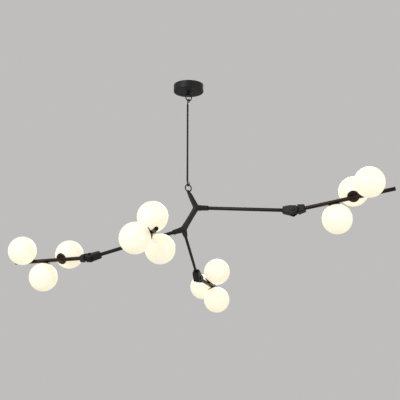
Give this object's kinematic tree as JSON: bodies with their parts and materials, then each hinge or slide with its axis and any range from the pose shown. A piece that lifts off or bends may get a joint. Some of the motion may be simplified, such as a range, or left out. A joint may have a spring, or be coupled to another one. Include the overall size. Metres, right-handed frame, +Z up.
{
  "type": "branch chandelier",
  "caption": "Branching chandelier of opal globes set in helices round jointed end tubes, hung from a ceiling canopy by a rigid stem with ring links.",
  "frame": {"origin": "centre of the ceiling plane that the canopy rim and the bracket touch", "axes": "+Z up, +X right, along the bracket's two screw holes and the longest side, +Y away from the viewer"},
  "size_m": [1.5718, 1.1411, 0.9443],
  "materials": {
    "canopy_black": "matte black paint",
    "hanger_black": "satin black",
    "arm_black": "satin black",
    "casting_black": "cast, satin black",
    "end_tube_black": "satin black with a warm tone",
    "cup_black": "spun, dark bronze black",
    "black_fasteners": "black oxide",
    "zinc_steel": "zinc plated",
    "terminal_plastic": "matte",
    "holder_ceramic": "white glaze",
    "lamp_glass": "frosted",
    "opal_glass": "opal, glossy"
  },
  "bodies": {
    "ceiling": {"ceiling_bracket": "zinc_steel", "mounting_nipple": "zinc_steel", "nipple_lock_nuts": "zinc_steel", "canopy": "canopy_black", "canopy_boss": "hanger_black", "terminal_block": "terminal_plastic"},
    "upper_ring_link": {"upper_ring": "hanger_black"},
    "stem": {"stem_tube": "hanger_black", "stem_hooks": "hanger_black"},
    "lower_ring_link": {"lower_ring": "hanger_black"},
    "frame": {"upper_y_casting": "casting_black", "lower_y_casting": "casting_black", "casting_stud": "black_fasteners", "left_arm": "arm_black", "right_arm": "arm_black", "rear_arm": "arm_black", "left_knuckle_fork": "casting_black", "right_knuckle_fork": "casting_black", "rear_knuckle_fork": "casting_black", "front_knuckle_tee": "casting_black", "knuckle_bolts": "black_fasteners", "knuckle_nuts": "black_fasteners", "knuckle_washers": "zinc_steel", "grub_screws": "black_fasteners"},
    "left_branch": {"left_knuckle_tongue": "casting_black", "left_end_tube": "end_tube_black", "left_end_cap": "end_tube_black", "left_globe_cups": "cup_black", "left_lamp_holders": "holder_ceramic", "left_lamps": "lamp_glass", "left_globe_1": "opal_glass", "left_globe_2": "opal_glass", "left_globe_3": "opal_glass"},
    "right_branch": {"right_knuckle_tongue": "casting_black", "right_end_tube": "end_tube_black", "right_end_cap": "end_tube_black", "right_globe_cups": "cup_black", "right_lamp_holders": "holder_ceramic", "right_lamps": "lamp_glass", "right_globe_1": "opal_glass", "right_globe_2": "opal_glass", "right_globe_3": "opal_glass"},
    "rear_branch": {"rear_knuckle_tongue": "casting_black", "rear_end_tube": "end_tube_black", "rear_end_cap": "end_tube_black", "rear_globe_cups": "cup_black", "rear_lamp_holders": "holder_ceramic", "rear_lamps": "lamp_glass", "rear_globe_1": "opal_glass", "rear_globe_2": "opal_glass", "rear_globe_3": "opal_glass"},
    "front_branch": {"front_knuckle_tongue": "casting_black", "front_end_tube": "end_tube_black", "front_end_cap": "end_tube_black", "front_globe_cups": "cup_black", "front_lamp_holders": "holder_ceramic", "front_lamps": "lamp_glass", "front_globe_1": "opal_glass", "front_globe_2": "opal_glass", "front_globe_3": "opal_glass"}
  },
  "joints": [
    {"name": "upper_ring_swing", "type": "hinge", "parent": "ceiling", "child": "upper_ring_link", "pos_m": [0, 0, -0.041], "axis": [0.8192, 0.5736, 0], "range_deg": [-20, 20]},
    {"name": "stem_swing", "type": "hinge", "parent": "upper_ring_link", "child": "stem", "pos_m": [0, 0, -0.0656], "axis": [-0.5736, 0.8192, 0], "range_deg": [-20, 20]},
    {"name": "lower_ring_swing", "type": "hinge", "parent": "stem", "child": "lower_ring_link", "pos_m": [0, 0, -0.4534], "axis": [-0.5736, 0.8192, 0], "range_deg": [-20, 20]},
    {"name": "frame_swing", "type": "hinge", "parent": "lower_ring_link", "child": "frame", "pos_m": [0, 0, -0.478], "axis": [0.8192, 0.5736, 0], "range_deg": [-20, 20]},
    {"name": "left_knuckle", "type": "hinge", "parent": "frame", "child": "left_branch", "pos_m": [-0.3999, -0.0552, -0.7695], "axis": [0.2349, 0.441, -0.8662], "range_deg": [-91.4, 8.6]},
    {"name": "right_knuckle", "type": "hinge", "parent": "frame", "child": "right_branch", "pos_m": [0.4261, -0.1646, -0.5959], "axis": [-0.3391, -0.9182, 0.2049], "range_deg": [-64.8, 35.2]},
    {"name": "rear_knuckle", "type": "hinge", "parent": "frame", "child": "rear_branch", "pos_m": [0.0393, 0.2798, -0.8077], "axis": [0.9449, -0.284, -0.1628], "range_deg": [-76.9, 23.1]},
    {"name": "front_knuckle", "type": "hinge", "parent": "frame", "child": "front_branch", "pos_m": [-0.1934, -0.0737, -0.7096], "axis": [-0.8763, -0.212, 0.4325], "range_deg": [-56.2, 43.8]}
  ]
}
